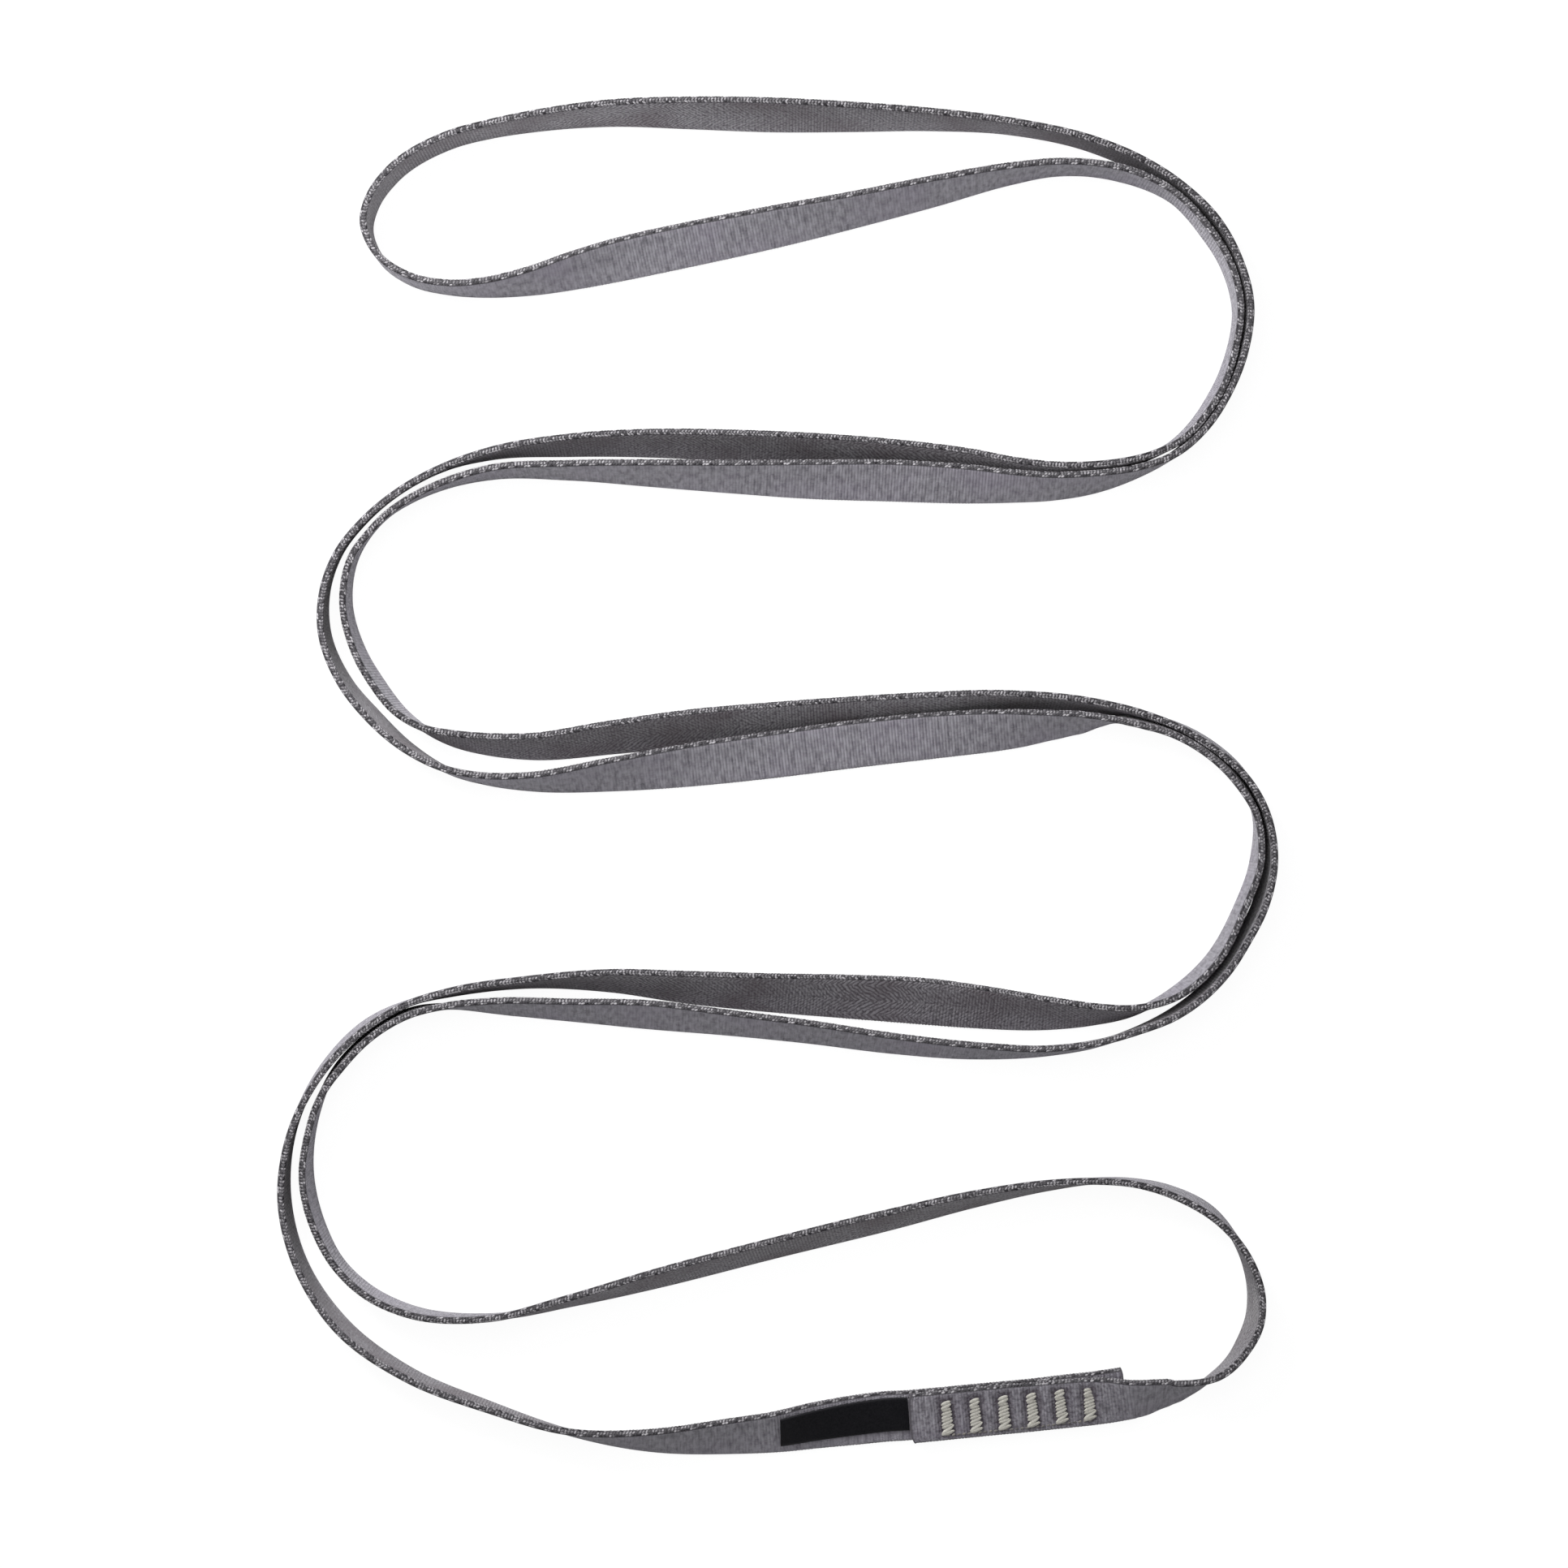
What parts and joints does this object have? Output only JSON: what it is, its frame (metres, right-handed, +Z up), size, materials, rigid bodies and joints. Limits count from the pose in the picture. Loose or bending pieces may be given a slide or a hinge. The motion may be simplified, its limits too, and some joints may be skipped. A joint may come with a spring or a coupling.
{
  "type": "climbing sling",
  "caption": "Sewn climbing sling of flat grey nylon webbing with a bar-tacked splice and a black label, laid out doubled in runs and turns.",
  "frame": {"origin": "middle of the sling's outline, on the surface that it lies on", "axes": "+X to the right along the runs, +Y away from the splice towards the head bight, +Z up out of the surface"},
  "size_m": [0.3255, 0.4443, 0.018],
  "materials": {
    "grey_nylon_webbing": "matt woven nylon",
    "cream_thread": "matt thread",
    "black_label_tape": "matt woven tape"
  },
  "bodies": {
    "head": {"head_bight": "grey_nylon_webbing", "run_1_upper_strand": "grey_nylon_webbing", "run_1_lower_strand": "grey_nylon_webbing"},
    "run_2": {"run_2_upper_strand": "grey_nylon_webbing", "run_2_lower_strand": "grey_nylon_webbing", "turn_1_outer_strand": "grey_nylon_webbing", "turn_1_inner_strand": "grey_nylon_webbing"},
    "run_3": {"run_3_upper_strand": "grey_nylon_webbing", "run_3_lower_strand": "grey_nylon_webbing", "turn_2_outer_strand": "grey_nylon_webbing", "turn_2_inner_strand": "grey_nylon_webbing", "turn_3_outer_strand": "grey_nylon_webbing", "turn_3_inner_strand": "grey_nylon_webbing"},
    "run_4": {"run_4_upper_strand": "grey_nylon_webbing", "run_4_lower_strand": "grey_nylon_webbing", "turn_4_outer_strand": "grey_nylon_webbing", "turn_4_inner_strand": "grey_nylon_webbing"},
    "tail": {"run_5_upper_strand": "grey_nylon_webbing", "run_5_lower_strand": "grey_nylon_webbing", "tail_bight": "grey_nylon_webbing", "splice_top_layer": "grey_nylon_webbing", "splice_under_layer": "grey_nylon_webbing", "label_root": "black_label_tape", "bar_tack_1": "cream_thread", "bar_tack_2": "cream_thread", "bar_tack_3": "cream_thread", "bar_tack_4": "cream_thread", "bar_tack_5": "cream_thread", "bar_tack_6": "cream_thread"},
    "label": {"label_flap": "black_label_tape"}
  },
  "joints": [
    {"name": "turn_1_fold", "type": "hinge", "parent": "run_2", "child": "head", "pos_m": [0.152, 0.1528, 0.009], "axis": [0, 0, -1], "range_deg": [-5, 45], "deforming": ["turn_1_outer_strand", "turn_1_inner_strand"]},
    {"name": "turn_2_fold", "type": "hinge", "parent": "run_3", "child": "run_2", "pos_m": [-0.1446, 0.0576, 0.009], "axis": [0, 0, 1], "range_deg": [-5, 45], "deforming": ["turn_2_outer_strand", "turn_2_inner_strand"]},
    {"name": "turn_3_fold", "type": "hinge", "parent": "run_3", "child": "run_4", "pos_m": [0.1592, -0.0245, 0.009], "axis": [0, 0, 1], "range_deg": [-5, 45], "deforming": ["turn_3_outer_strand", "turn_3_inner_strand"]},
    {"name": "turn_4_fold", "type": "hinge", "parent": "run_4", "child": "tail", "pos_m": [-0.1575, -0.1319, 0.009], "axis": [0, 0, -1], "range_deg": [-5, 45], "deforming": ["turn_4_outer_strand", "turn_4_inner_strand"]},
    {"name": "label_lift", "type": "hinge", "parent": "tail", "child": "label", "pos_m": [0.04287, -0.2084, 0.00514], "axis": [-0.0856, 0.9779, 0.1908], "range_deg": [0, 90]}
  ]
}
